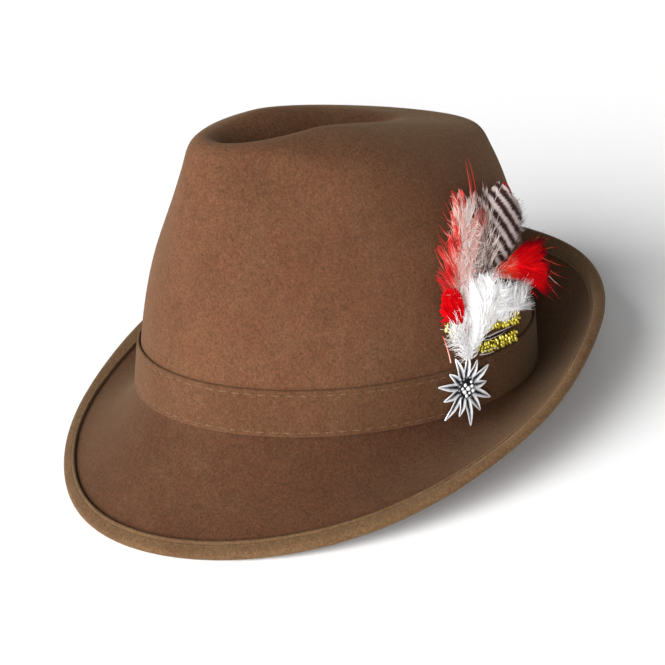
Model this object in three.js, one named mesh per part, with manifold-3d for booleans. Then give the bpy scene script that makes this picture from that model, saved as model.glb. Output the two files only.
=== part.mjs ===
// A tyrolean hat of brown felt with a feather plume, tinsel strips and an edelweiss pin.
// Millimetres, +Z up. The brim's low front points to -Y and the wearer's left side to +X.
// The hat is drawn upright about its head line, then tipped back to lie as it does on a table.
import * as THREE from 'three';
import { mergeVertices } from 'three/addons/utils/BufferGeometryUtils.js';
import Module from 'manifold-3d';

const wasm = await Module();
wasm.setup();

// Driving sizes

// Inside of the head opening, for a head of about 58 cm
const HEAD_WIDTH = 167;
const HEAD_LENGTH = 201;
// Felt of the crown and the brim
const FELT = 2;
// Head line to the highest point of the crown
const CROWN_HEIGHT = 129;
// Clearance between pieces that touch
const GAP = 0.3;
// Sewn felt band around the foot of the crown
const BAND_HEIGHT = 22;
const BAND_FELT = 1.5;
// Brim, from the crown wall to the middle of its bound edge
const BRIM_REACH = 40;
const FRONT_DROP = 47.5;
const BACK_RISE = 34.5;
// The brim's felt runs this far up behind the band, where it meets the crown
const COLLAR = 1.4;
// Folded and stitched hem that holds the brim's edge
const HEM_WIDTH = 7.5;
const HEM_THICK = 5.6;
const HEM_LIP = 4.4;
// How far the edge of the brim reaches into the hem past its middle
const HEM_BITE = 0.9;
// How far the felt gives where the hat's weight rests
const PRESS = 0.8;

// Steps around the hat, and between two rows of the crown table
const AROUND = 48;
const CROWN_STEPS = 2;
const BRIM_STEPS = 7;
const HEM_STEPS = 6;
// Steps along a feather, and around its lens-shaped section
const FEATHER_STEPS = 8;
const FEATHER_SIDES = 6;
const LOCK_STEPS = 3;
const LOCK_SIDES = 4;
// Steps along a tinsel strip between two of its places, and around the pin's plate
const TINSEL_STEPS = 3;
const PLATE_SIDES = 12;
// Times that a search halves its range
const HALVINGS = 40;
// Distance, in degrees or millimetres, over which the wall's direction is measured
const NEARBY = 0.5;
// The hat tips back by less than this, in degrees
const MOST_TIP = 30;

// Edelweiss pin: its place on the band, in degrees from the front and up from the head line
const PIN_ANGLE = 90;
const PIN_UP = 12.5;
const PIN_RADIUS = 19;
const PIN_PLATE = 5.6;
const PIN_THICK = 1.4;
const PETAL_WIDTH = 3.6;
const KNOB = 2.3;
const KNOB_RING = 3.1;
const KNOB_COUNT = 6;
// A lock's thickness as a share of its width, and its width along its length, as shares
const LOCK_FLAT = 0.3;
const LOCK_ROWS = [
  { at: 0, size: 0.6 },
  { at: 0.5, size: 1 },
  { at: 1, size: 0.1 },
];
// Tinsel strip
const TINSEL_WIDTH = 4.6;
const TINSEL_THICK = 2.2;
// The plume: its length from the pin, and how far it would stand off the crown at that length
// towards the back and twice the turn up, past the shares of its length where it lies close
const PLUME_LENGTH = 80;
const PLUME_STAND = 20;
const PLUME_RISE = 13;
const PLUME_CLOSE = 0.13;
const PLUME_TURN = 0.7;
const STAND_POWER = 1.5;

// Crown sections from the head line up the wall, over the shoulder and down into the dent.
// front, side and back are reaches from the crown's axis, as shares of half the outer length
// and width. mid is where the section is widest, as a share of half the length.
// hF, hS and hB are the heights at front, side and back, as shares of the crown height.
const CROWN_ROWS = [
  { front: 1.000, side: 1.000, back: 1.000, mid: 0.000, hF: 0.000, hS: 0.000, hB: 0.000 },
  { front: 0.975, side: 0.972, back: 0.978, mid: 0.000, hF: 0.240, hS: 0.232, hB: 0.209 },
  { front: 0.938, side: 0.930, back: 0.938, mid: 0.000, hF: 0.480, hS: 0.450, hB: 0.403 },
  { front: 0.893, side: 0.845, back: 0.895, mid: -0.010, hF: 0.682, hS: 0.636, hB: 0.589 },
  { front: 0.868, side: 0.735, back: 0.868, mid: -0.030, hF: 0.815, hS: 0.760, hB: 0.698 },
  { front: 0.845, side: 0.635, back: 0.850, mid: -0.060, hF: 0.888, hS: 0.842, hB: 0.760 },
  { front: 0.818, side: 0.525, back: 0.830, mid: -0.110, hF: 0.938, hS: 0.908, hB: 0.815 },
  { front: 0.780, side: 0.405, back: 0.760, mid: -0.170, hF: 0.966, hS: 0.954, hB: 0.842 },
  { front: 0.735, side: 0.305, back: 0.590, mid: -0.230, hF: 0.974, hS: 0.980, hB: 0.868 },
  { front: 0.690, side: 0.225, back: 0.420, mid: -0.270, hF: 0.964, hS: 0.990, hB: 0.893 },
  { front: 0.620, side: 0.150, back: 0.330, mid: -0.260, hF: 0.925, hS: 0.950, hB: 0.893 },
  { front: 0.540, side: 0.075, back: 0.260, mid: -0.250, hF: 0.875, hS: 0.875, hB: 0.885 },
  { front: 0.460, side: 0.000, back: 0.180, mid: -0.240, hF: 0.845, hS: 0.845, hB: 0.876 },
];

// Soft pinches in the crown wall. at and spread are degrees around the hat from the front,
// up and tall are shares of the crown table's length, deep is a share of the crown height.
const PINCHES = [
  { at: 42, spread: 25, up: 0.36, tall: 0.17, deep: 0.09 },
  { at: -42, spread: 25, up: 0.36, tall: 0.17, deep: 0.09 },
];

// Share of the crown table's length, before the dent's floor, over which a pinch dies away
const PINCH_FADE = 0.3;
// Share of the crown table's length that holds all of the wall
const WALL_SHARE = 0.6;
// How softly the heights pass from side to end
const END_POWER = 1.25;

// Brim sections, from the front around one side to the back.
// at is degrees from the front. reach is a share of BRIM_REACH. rise is a share of FRONT_DROP
// where it is negative and of BACK_RISE where it is positive. turn is how far the felt runs on
// downwards under the band and run how far the edge keeps its slope, as shares of BRIM_REACH.
// slope is the brim's direction at its edge, in degrees above level.
const BRIM_ROWS = [
  { at: 0, reach: 0.85, rise: -1.00, turn: 0.16, run: 0.45, slope: -46 },
  { at: 30, reach: 0.83, rise: -0.90, turn: 0.16, run: 0.45, slope: -40 },
  { at: 60, reach: 0.93, rise: -0.56, turn: 0.22, run: 0.48, slope: -14 },
  { at: 90, reach: 1.00, rise: 0.04, turn: 0.28, run: 0.50, slope: 36 },
  { at: 120, reach: 0.83, rise: 0.74, turn: 0.24, run: 0.60, slope: 62 },
  { at: 150, reach: 0.72, rise: 0.99, turn: 0.20, run: 0.65, slope: 74 },
  { at: 180, reach: 0.75, rise: 1.00, turn: 0.18, run: 0.65, slope: 76 },
];

// Feathers of the plume, from root to tip. back and up are measured on the crown from the pin,
// off is the height of the feather's middle above the felt, wide and thick are its section.
// All are shares of PLUME_LENGTH.
const FEATHERS = {
  barred_feather: {
    rows: [
      { back: 0.03, up: 0.19, off: 0.012, wide: 0.02, thick: 0.012 },
      { back: 0.07, up: 0.36, off: 0.018, wide: 0.03, thick: 0.016 },
      { back: 0.18, up: 0.54, off: 0.022, wide: 0.12, thick: 0.020 },
      { back: 0.32, up: 0.69, off: 0.024, wide: 0.28, thick: 0.024 },
      { back: 0.46, up: 0.83, off: 0.024, wide: 0.35, thick: 0.024 },
      { back: 0.57, up: 0.95, off: 0.024, wide: 0.25, thick: 0.020 },
      { back: 0.62, up: 1.01, off: 0.024, wide: 0.05, thick: 0.012 },
    ],
    locks: [],
    finish: 'barred',
  },
  red_feather: {
    rows: [
      { back: 0.01, up: 0.20, off: 0.030, wide: 0.02, thick: 0.012 },
      { back: 0.10, up: 0.41, off: 0.046, wide: 0.03, thick: 0.018 },
      { back: 0.27, up: 0.58, off: 0.054, wide: 0.06, thick: 0.022 },
      { back: 0.46, up: 0.59, off: 0.056, wide: 0.14, thick: 0.026 },
      { back: 0.62, up: 0.54, off: 0.056, wide: 0.27, thick: 0.024 },
      { back: 0.73, up: 0.49, off: 0.056, wide: 0.12, thick: 0.014 },
    ],
    locks: [
      { at: 0.82, turn: 56, long: 0.19, wide: 0.06 },
      { at: 0.86, turn: 14, long: 0.20, wide: 0.05 },
      { at: 0.88, turn: -14, long: 0.24, wide: 0.05 },
      { at: 0.84, turn: -44, long: 0.22, wide: 0.05 },
    ],
    finish: 'red',
  },
  pink_plume: {
    rows: [
      { back: 0.00, up: 0.235, off: 0.047, wide: 0.03, thick: 0.014 },
      { back: -0.05, up: 0.40, off: 0.068, wide: 0.14, thick: 0.030 },
      { back: -0.08, up: 0.58, off: 0.076, wide: 0.25, thick: 0.040 },
      { back: 0.01, up: 0.78, off: 0.076, wide: 0.29, thick: 0.040 },
      { back: 0.12, up: 0.93, off: 0.072, wide: 0.22, thick: 0.030 },
      { back: 0.20, up: 1.02, off: 0.070, wide: 0.06, thick: 0.014 },
    ],
    locks: [
      { at: 0.30, turn: 40, long: 0.18, wide: 0.07 },
      { at: 0.44, turn: 44, long: 0.20, wide: 0.07 },
      { at: 0.56, turn: 48, long: 0.22, wide: 0.07 },
      { at: 0.70, turn: 40, long: 0.22, wide: 0.07 },
      { at: 0.78, turn: -14, long: 0.30, wide: 0.05 },
      { at: 0.62, turn: -34, long: 0.24, wide: 0.07 },
      { at: 0.50, turn: -40, long: 0.22, wide: 0.07 },
    ],
    finish: 'pink',
  },
  white_plume: {
    rows: [
      { back: 0.00, up: 0.225, off: 0.066, wide: 0.05, thick: 0.018 },
      { back: 0.00, up: 0.34, off: 0.120, wide: 0.15, thick: 0.040 },
      { back: 0.06, up: 0.46, off: 0.155, wide: 0.21, thick: 0.050 },
      { back: 0.20, up: 0.51, off: 0.155, wide: 0.22, thick: 0.050 },
      { back: 0.34, up: 0.49, off: 0.145, wide: 0.16, thick: 0.040 },
      { back: 0.43, up: 0.51, off: 0.140, wide: 0.05, thick: 0.016 },
    ],
    locks: [
      { at: 0.08, turn: 62, long: 0.14, wide: 0.06 },
      { at: 0.42, turn: 44, long: 0.18, wide: 0.07 },
      { at: 0.56, turn: 40, long: 0.17, wide: 0.07 },
      { at: 0.74, turn: 30, long: 0.18, wide: 0.06 },
      { at: 0.40, turn: -50, long: 0.16, wide: 0.07 },
      { at: 0.60, turn: -34, long: 0.19, wide: 0.07 },
    ],
    finish: 'white',
  },
  red_tip: {
    rows: [
      { back: -0.05, up: 0.40, off: 0.110, wide: 0.04, thick: 0.012 },
      { back: -0.09, up: 0.46, off: 0.110, wide: 0.13, thick: 0.016 },
      { back: -0.12, up: 0.53, off: 0.110, wide: 0.14, thick: 0.016 },
      { back: -0.13, up: 0.59, off: 0.110, wide: 0.05, thick: 0.012 },
    ],
    locks: [
      { at: 0.30, turn: 66, long: 0.13, wide: 0.05 },
    ],
    finish: 'red',
  },
};

// Tinsel strips, as places back and up from the pin, in shares of PLUME_LENGTH
const TINSELS = {
  tinsel_loop: [
    [0.48, 0.290], [0.34, 0.295], [0.20, 0.300], [0.125, 0.245],
    [0.18, 0.190], [0.31, 0.186], [0.44, 0.190],
  ],
  tinsel_end: [[-0.10, 0.395], [-0.060, 0.355], [-0.025, 0.305]],
};
// Height of the tinsel's middle above the felt, as a share of its thickness
const TINSEL_OFF = 0.68;

// Petals of the edelweiss around its middle, long as shares of PIN_RADIUS, dipping backwards
const PETALS = [0.86, 0.70, 0.92, 0.76, 0.98, 0.72, 1.00, 0.84, 0.94, 0.70, 0.88, 0.74, 0.90];
// Turn of the first petal from straight up, in degrees
const PETAL_START = 20;
// Petals narrow and end as these shares of their width and thickness
const PETAL_ROWS = [
  { at: 0.15, wide: 0.70, thick: 1.00, lift: 0.50 },
  { at: 0.45, wide: 1.00, thick: 0.80, lift: 0.62 },
  { at: 0.78, wide: 0.62, thick: 0.60, lift: 0.80 },
  { at: 1.00, wide: 0.10, thick: 0.30, lift: 0.70 },
];

// Colours and finishes
const FINISHES = {
  felt: { color: 0x7b4e33, roughness: 0.95, metalness: 0 },
  hem: { color: 0x86603f, roughness: 0.95, metalness: 0 },
  barred: { color: 0x8d7468, roughness: 0.7, metalness: 0 },
  red: { color: 0xb80e18, roughness: 0.7, metalness: 0 },
  pink: { color: 0xd99a8c, roughness: 0.9, metalness: 0 },
  white: { color: 0xeae6e4, roughness: 0.9, metalness: 0 },
  tinsel: { color: 0xb39b2c, roughness: 0.3, metalness: 1 },
  pin: { color: 0x9a9ca0, roughness: 0.3, metalness: 1 },
};

// Sizes worked out from the driving ones
const HALF_WIDTH = HEAD_WIDTH / 2 + FELT;
const HALF_LENGTH = HEAD_LENGTH / 2 + FELT;
const CROWN_FOOT = COLLAR + GAP;

const radians = (degrees) => THREE.MathUtils.degToRad(degrees);

// Value of one column of a table at a place between its rows, with level ends
function column(rows, name, at) {
  const last = rows.length - 1;
  const index = Math.min(last - 1, rows.findLastIndex((row) => row.at <= at));
  const [a, b] = [rows[index], rows[index + 1]];
  const before = rows[index - 1] ?? { ...b, at: a.at - (b.at - a.at) };
  const after = rows[index + 2] ?? { ...a, at: b.at + (b.at - a.at) };
  const share = (at - a.at) / (b.at - a.at);
  const slopeA = (b[name] - before[name]) / (b.at - before.at) * (b.at - a.at);
  const slopeB = (after[name] - a[name]) / (after.at - a.at) * (b.at - a.at);
  const square = share * share;
  const cube = square * share;
  return (2 * cube - 3 * square + 1) * a[name] + (cube - 2 * square + share) * slopeA
    + (3 * square - 2 * cube) * b[name] + (cube - square) * slopeB;
}

// A closed body from an array of vertices and one of triangles
function solid(points, faces) {
  const geometry = new THREE.BufferGeometry().setFromPoints(points);
  geometry.setIndex(faces.flat());
  return mergeVertices(geometry);
}

// Two triangles for each cell between neighbouring lines of a grid of points, cut along
// one diagonal or the other, so that two pieces that run side by side can have the same cuts
function gridFaces(lines, across, wrap, mirrored = false) {
  const faces = [];
  for (let i = 0; i < lines; i += 1) {
    for (let j = 0; j < (wrap ? across : across - 1); j += 1) {
      const next = (i + 1) % lines;
      const side = (j + 1) % across;
      const [a, b] = [i * across + j, i * across + side];
      const [c, d] = [next * across + side, next * across + j];
      if (mirrored) faces.push([a, d, b], [b, d, c]);
      else faces.push([a, d, c], [a, c, b]);
    }
  }
  return faces;
}

// A ring whose closed section is given at each step around the hat
function ring(sectionAt, mirrored = false) {
  const sections = Array.from({ length: AROUND }, (_, i) => sectionAt(360 * i / AROUND));
  return solid(sections.flat(), gridFaces(AROUND, sections[0].length, true, mirrored));
}

// Point of the head line oval, and the way straight out from it
function headLine(angle) {
  const turn = radians(angle);
  const point = new THREE.Vector3(HALF_WIDTH * Math.sin(turn), -HALF_LENGTH * Math.cos(turn), 0);
  const out = new THREE.Vector3(Math.sin(turn) / HALF_WIDTH, -Math.cos(turn) / HALF_LENGTH, 0);
  return { point, out: out.normalize() };
}

// A section drawn flat, as distances out from the head line and up, placed at an angle
function placeSection(angle, outline) {
  const { point, out } = headLine(angle);
  return outline.map((spot) => point.clone().addScaledVector(out, spot.x).setZ(spot.y));
}

// The crown's outer line at one angle, from the head line to the floor of the dent
function meridian(angle) {
  const turn = radians(angle);
  const facing = Math.cos(turn);
  const share = Math.abs(facing) ** END_POWER;
  const points = CROWN_ROWS.map((row) => {
    const reach = facing > 0 ? row.front + row.mid : row.back - row.mid;
    const end = facing > 0 ? row.hF : row.hB;
    return new THREE.Vector3(
      HALF_WIDTH * row.side * Math.sin(turn),
      HALF_LENGTH * (row.mid - reach * facing),
      CROWN_HEIGHT * THREE.MathUtils.lerp(row.hS, end, share),
    );
  });
  return new THREE.CatmullRomCurve3(points, false, 'centripetal');
}

// How far the pinches push the crown in at an angle and a place along its line
function pinchAt(angle, share) {
  const around = angle > 180 ? angle - 360 : angle;
  return PINCHES.reduce((sum, pinch) => {
    const side = (around - pinch.at) / pinch.spread;
    const rise = (share - pinch.up) / pinch.tall;
    const fade = THREE.MathUtils.smoothstep(1 - share, 0, PINCH_FADE);
    return sum + fade * pinch.deep * CROWN_HEIGHT * Math.exp(-side * side - rise * rise);
  }, 0);
}

// A point of the crown's outer face, pinches included
function crownPoint(line, angle, share) {
  const { out } = headLine(angle);
  return line.getPoint(share).addScaledVector(out, -pinchAt(angle, share));
}

// The place on a line of the crown where it reaches a height on the wall
function shareAtHeight(line, height) {
  let [low, high] = [0, WALL_SHARE];
  for (let i = 0; i < HALVINGS; i += 1) {
    const middle = (low + high) / 2;
    if (line.getPoint(middle).z < height) low = middle;
    else high = middle;
  }
  return low;
}

// A place on or off the crown wall, and the way out from it
function onWall(angle, height, off) {
  const spot = (turn, up) => {
    const line = meridian(turn);
    return crownPoint(line, turn, shareAtHeight(line, up));
  };
  const point = spot(angle, height);
  const along = spot(angle + NEARBY, height).sub(spot(angle - NEARBY, height));
  const up = spot(angle, height + NEARBY).sub(spot(angle, height - NEARBY));
  const out = along.cross(up).normalize();
  return { point: point.addScaledVector(out, off), out };
}

// An open skin given its thickness on the inner side, with its cut edge level
function thicken(skin, wall) {
  skin.computeVertexNormals();
  const { position, normal } = skin.attributes;
  const count = position.count;
  const read = (list) => Array.from({ length: count }, (_, i) => (
    new THREE.Vector3().fromBufferAttribute(list, i)
  ));
  const outer = read(position);
  const outward = read(normal);
  const inner = outer.map((point, i) => point.clone().addScaledVector(outward[i], -wall));
  const index = Array.from(skin.index.array);
  const faces = [];
  const edges = new Map();
  for (let i = 0; i < index.length; i += 3) {
    const face = index.slice(i, i + 3);
    faces.push(face, [face[2] + count, face[1] + count, face[0] + count]);
    face.forEach((from, corner) => {
      const to = face[(corner + 1) % 3];
      edges.set(`${from} ${to}`, [from, to]);
    });
  }
  for (const [from, to] of edges.values()) {
    if (edges.has(`${to} ${from}`)) continue;
    faces.push([to, from, from + count], [to, from + count, to + count]);
    inner[from].z = outer[from].z;
  }
  return solid([...outer, ...inner], faces);
}

// The crown: one shell of felt, open at the head line
function crown() {
  const count = (CROWN_ROWS.length - 1) * CROWN_STEPS + 1;
  const points = [];
  for (let i = 0; i < AROUND; i += 1) {
    const angle = 360 * i / AROUND;
    const line = meridian(angle);
    const start = shareAtHeight(line, CROWN_FOOT);
    for (let j = 0; j < count; j += 1) {
      points.push(crownPoint(line, angle, start + (1 - start) * j / (count - 1)));
    }
  }
  return thicken(solid(points, gridFaces(AROUND, count, false)), FELT);
}

// Sizes of the brim at an angle, on either side of the hat
function brimAt(angle) {
  const at = angle > 180 ? 360 - angle : angle;
  const rise = column(BRIM_ROWS, 'rise', at);
  const slope = radians(column(BRIM_ROWS, 'slope', at));
  return {
    edge: new THREE.Vector2(
      BRIM_REACH * column(BRIM_ROWS, 'reach', at),
      rise < 0 ? rise * FRONT_DROP : rise * BACK_RISE,
    ),
    way: new THREE.Vector2(Math.cos(slope), Math.sin(slope)),
    turn: BRIM_REACH * column(BRIM_ROWS, 'turn', at),
    run: BRIM_REACH * column(BRIM_ROWS, 'run', at),
  };
}

// The middle of the brim's felt at an angle, from under the band to where the hem begins
function brimLine(angle) {
  const { edge, way, turn, run } = brimAt(angle);
  const middle = -FELT / 2;
  const end = edge.clone().addScaledVector(way, -HEM_WIDTH / 2 - GAP);
  return new THREE.CubicBezierCurve(
    new THREE.Vector2(middle, 0),
    new THREE.Vector2(middle, -turn),
    end.clone().addScaledVector(way, -run),
    end,
  );
}

// The brim: felt of one thickness, whose upper face is the outside of the hat
function brim() {
  return ring((angle) => {
    const line = brimLine(angle);
    const stations = [{ at: new THREE.Vector2(-FELT / 2, COLLAR), way: new THREE.Vector2(0, -1) }];
    for (let i = 0; i <= BRIM_STEPS; i += 1) {
      const share = i / BRIM_STEPS;
      stations.push({ at: line.getPoint(share), way: line.getTangent(share) });
    }
    const { edge, way } = brimAt(angle);
    stations.push({ at: edge.clone().addScaledVector(way, HEM_BITE), way });
    const face = (side) => stations.map(({ at, way }) => (
      new THREE.Vector2(at.x - way.y * side * FELT / 2, at.y + way.x * side * FELT / 2)
    ));
    return placeSection(angle, [...face(-1), ...face(1).reverse()]);
  });
}

// The hem: a folded felt binding, round outside, with a slot that holds the brim's edge
function hem() {
  const half = HEM_THICK / 2;
  const slot = FELT / 2 + GAP;
  const outline = [];
  for (let i = 0; i <= HEM_STEPS; i += 1) {
    const turn = Math.PI * (i / HEM_STEPS - 0.5);
    outline.push([HEM_WIDTH / 2 - half + half * Math.cos(turn), half * Math.sin(turn)]);
  }
  outline.push([-HEM_WIDTH / 2, HEM_LIP / 2], [-HEM_WIDTH / 2, slot], [HEM_BITE + GAP, slot]);
  outline.push([HEM_BITE + GAP, -slot], [-HEM_WIDTH / 2, -slot], [-HEM_WIDTH / 2, -HEM_LIP / 2]);
  return ring((angle) => {
    const { edge, way } = brimAt(angle);
    return placeSection(angle, outline.map(([along, above]) => new THREE.Vector2(
      edge.x + way.x * along - way.y * above,
      edge.y + way.y * along + way.x * above,
    )));
  }, true);
}

// The band: a strip of felt that lies against the crown wall above the brim
function band() {
  const heights = [GAP, BAND_HEIGHT / 2, BAND_HEIGHT];
  return ring((angle) => {
    const face = (off) => heights.map((height) => onWall(angle, height, off).point.setZ(height));
    return [...face(GAP).reverse(), ...face(GAP + BAND_FELT)];
  });
}

// A closed mesh as a solid that can be joined, and such a solid as a mesh
function toSolid(geometry) {
  return new wasm.Manifold(new wasm.Mesh({
    numProp: 3,
    vertProperties: new Float32Array(geometry.attributes.position.array),
    triVerts: new Uint32Array(geometry.index.array),
  }));
}

function toGeometry(body) {
  const mesh = body.getMesh();
  const geometry = new THREE.BufferGeometry();
  geometry.setAttribute('position', new THREE.BufferAttribute(mesh.vertProperties, 3));
  geometry.setIndex(new THREE.BufferAttribute(mesh.triVerts, 1));
  return geometry;
}

// Several closed meshes joined into one body
function fuse(shapes) {
  return toGeometry(shapes.map(toSolid).reduce((whole, next) => whole.add(next)));
}

// A body through closed sections in a row, with flat ends
function loft(sections) {
  const across = sections[0].length;
  const faces = gridFaces(sections.length, across, true).slice(0, 2 * across * (sections.length - 1));
  const last = (sections.length - 1) * across;
  for (let i = 1; i < across - 1; i += 1) {
    faces.push([0, i, i + 1], [last, last + i + 1, last + i]);
  }
  const geometry = solid(sections.flat(), faces);
  if (signedVolume(geometry) > 0) return geometry;
  return solid(sections.flat(), faces.map((face) => [...face].reverse()));
}

// Volume inside a mesh, negative where its faces point inwards
function signedVolume(geometry) {
  const { position } = geometry.attributes;
  const corner = (i) => new THREE.Vector3().fromBufferAttribute(position, geometry.index.getX(i));
  let volume = 0;
  for (let i = 0; i < geometry.index.count; i += 3) {
    volume += corner(i).dot(corner(i + 1).cross(corner(i + 2))) / 6;
  }
  return volume;
}

// The sheet that the plume lies on: a place back and up from the pin and off the felt
function plumePoint(back, up, off) {
  const perDegree = radians(1) * HALF_LENGTH;
  const behind = Math.max(0, back / PLUME_LENGTH - PLUME_CLOSE) / (1 - PLUME_CLOSE);
  const above = Math.max(0, up / PLUME_LENGTH - PLUME_TURN) / PLUME_TURN;
  const stand = PLUME_STAND * behind ** STAND_POWER + PLUME_RISE * above ** 2;
  return onWall(PIN_ANGLE + back / perDegree, PIN_UP + up, off + stand).point;
}

// Round or lens-shaped outline with a width and a thickness
function lens(sides, wide, thick) {
  return Array.from({ length: sides }, (_, i) => {
    const turn = 2 * Math.PI * i / sides;
    return [wide / 2 * Math.cos(turn), thick / 2 * Math.sin(turn)];
  });
}

// A smooth line through three columns of a table
function lineThrough(rows, x, y, z) {
  return new THREE.CatmullRomCurve3(rows.map((row) => new THREE.Vector3(row[x], row[y], row[z])));
}

// A tapering body along a line of places on the plume's sheet, in millimetres
function strip(rows, steps, sides) {
  const route = lineThrough(rows, 'back', 'up', 'off');
  const sizes = lineThrough(rows, 'wide', 'thick', 'thick');
  return loft(Array.from({ length: steps + 1 }, (_, i) => {
    const spot = route.getPoint(i / steps);
    const size = sizes.getPoint(i / steps);
    const way = route.getTangent(i / steps).setZ(0).normalize();
    return lens(sides, size.x, size.y).map(([x, y]) => (
      plumePoint(spot.x + way.y * x, spot.y - way.x * x, spot.z + y)
    ));
  }));
}

// A feather: its main form with the locks that spread from it, joined into one body
function feather({ rows, locks }) {
  const scaled = rows.map((row) => (
    Object.fromEntries(Object.entries(row).map(([name, share]) => [name, share * PLUME_LENGTH]))
  ));
  const route = lineThrough(scaled, 'back', 'up', 'off');
  const main = strip(scaled, FEATHER_STEPS, FEATHER_SIDES);
  const spread = locks.map((lock) => {
    const start = route.getPoint(lock.at);
    const way = route.getTangent(lock.at).setZ(0).normalize();
    way.applyAxisAngle(new THREE.Vector3(0, 0, 1), radians(lock.turn));
    const wide = lock.wide * PLUME_LENGTH;
    const reach = lock.long * PLUME_LENGTH;
    return strip(LOCK_ROWS.map(({ at, size }) => ({
      back: start.x + way.x * reach * at,
      up: start.y + way.y * reach * at,
      off: start.z,
      wide: wide * size,
      thick: wide * size * LOCK_FLAT,
    })), LOCK_STEPS, LOCK_SIDES);
  });
  return fuse([main, ...spread]);
}

// A tinsel strip of one width along its places
function tinsel(places) {
  return strip(places.map(([back, up]) => ({
    back: back * PLUME_LENGTH,
    up: up * PLUME_LENGTH,
    off: TINSEL_OFF * TINSEL_THICK,
    wide: TINSEL_WIDTH,
    thick: TINSEL_THICK,
  })), places.length * TINSEL_STEPS, FEATHER_SIDES);
}

// The pin: an edelweiss of slender petals on a round plate, with a cluster of knobs
function edelweiss() {
  const { point, out } = onWall(PIN_ANGLE, PIN_UP, 2 * GAP + BAND_FELT);
  const up = new THREE.Vector3(0, 0, 1).addScaledVector(out, -out.z).normalize();
  const side = new THREE.Vector3().crossVectors(up, out);
  const place = (x, y, z) => (
    point.clone().addScaledVector(side, x).addScaledVector(up, y).addScaledVector(out, z)
  );
  const disc = (radius, low, high, sides) => loft([low, high].map((z) => (
    Array.from({ length: sides }, (_, i) => {
      const turn = 2 * Math.PI * i / sides;
      return place(radius * Math.sin(turn), radius * Math.cos(turn), z);
    })
  )));
  const petals = PETALS.map((long, i) => {
    const turn = radians(PETAL_START + 360 * i / PETALS.length);
    const [sin, cos] = [Math.sin(turn), Math.cos(turn)];
    return loft(PETAL_ROWS.map((row) => {
      const reach = row.at * long * PIN_RADIUS;
      return lens(LOCK_SIDES, row.wide * PETAL_WIDTH, row.thick * PIN_THICK).map(([x, y]) => (
        place(reach * sin + x * cos, reach * cos - x * sin, row.lift * PIN_THICK * 2 + y)
      ));
    }));
  });
  const knobs = Array.from({ length: KNOB_COUNT + 1 }, (_, i) => {
    const ball = new THREE.IcosahedronGeometry(KNOB / 2, 1);
    ball.deleteAttribute('normal');
    ball.deleteAttribute('uv');
    const turn = 2 * Math.PI * i / KNOB_COUNT;
    const away = i === KNOB_COUNT ? 0 : KNOB_RING;
    const middle = place(away * Math.sin(turn), away * Math.cos(turn), 2 * PIN_THICK + KNOB / 3);
    return mergeVertices(ball.translate(middle.x, middle.y, middle.z));
  });
  return fuse([disc(PIN_PLATE, 0, 2 * PIN_THICK, PLATE_SIDES), ...petals, ...knobs]);
}

const pieces = {
  crown: { shape: crown(), finish: 'felt' },
  brim: { shape: brim(), finish: 'felt' },
  band: { shape: band(), finish: 'felt' },
  brim_hem: { shape: hem(), finish: 'hem' },
  edelweiss_pin: { shape: edelweiss(), finish: 'pin' },
};
for (const [name, plan] of Object.entries(FEATHERS)) {
  pieces[name] = { shape: feather(plan), finish: plan.finish };
}
for (const [name, places] of Object.entries(TINSELS)) {
  pieces[name] = { shape: tinsel(places), finish: 'tinsel' };
}

// Felt pieces give where they rest, the rest of the hat keeps its shape
const SOFT = ['brim', 'brim_hem'];

// Lowest point of the tipped hat on one side of its middle, front or back
function lowest(tip, facing) {
  let low = Infinity;
  const spot = new THREE.Vector3();
  for (const name of SOFT) {
    const { position } = pieces[name].shape.attributes;
    for (let i = 0; i < position.count; i += 1) {
      spot.fromBufferAttribute(position, i);
      if (spot.y * facing > 0) low = Math.min(low, spot.z * Math.cos(tip) + spot.y * Math.sin(tip));
    }
  }
  return low;
}

// The tip at which the hat's front and back rest on one level
function restingTip() {
  let [less, more] = [radians(-MOST_TIP), 0];
  for (let i = 0; i < HALVINGS; i += 1) {
    const middle = (less + more) / 2;
    if (lowest(middle, -1) > lowest(middle, 1)) less = middle;
    else more = middle;
  }
  return less;
}

const tip = restingTip();
const floor = lowest(tip, -1) + PRESS;
for (const [name, { shape }] of Object.entries(pieces)) {
  shape.rotateX(tip).translate(0, 0, -floor);
  if (!SOFT.includes(name)) continue;
  const { position } = shape.attributes;
  for (let i = 0; i < position.count; i += 1) position.setZ(i, Math.max(0, position.getZ(i)));
}
const extent = new THREE.Box3();
for (const { shape } of Object.values(pieces)) {
  shape.computeBoundingBox();
  extent.union(shape.boundingBox);
}
const middle = extent.getCenter(new THREE.Vector3());

const hat = new THREE.Group();
for (const [name, { shape, finish }] of Object.entries(pieces)) {
  shape.translate(-middle.x, -middle.y, 0);
  const mesh = new THREE.Mesh(shape, new THREE.MeshStandardMaterial(FINISHES[finish]));
  mesh.name = name;
  hat.add(mesh);
}

export default hat;
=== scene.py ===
"""A tyrolean hat of brown felt, with a plume of feathers, gold tinsel and an edelweiss pin."""

import math

import bmesh
import bpy
import numpy as np
from mathutils import Matrix, Vector
from mathutils.bvhtree import BVHTree


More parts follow.
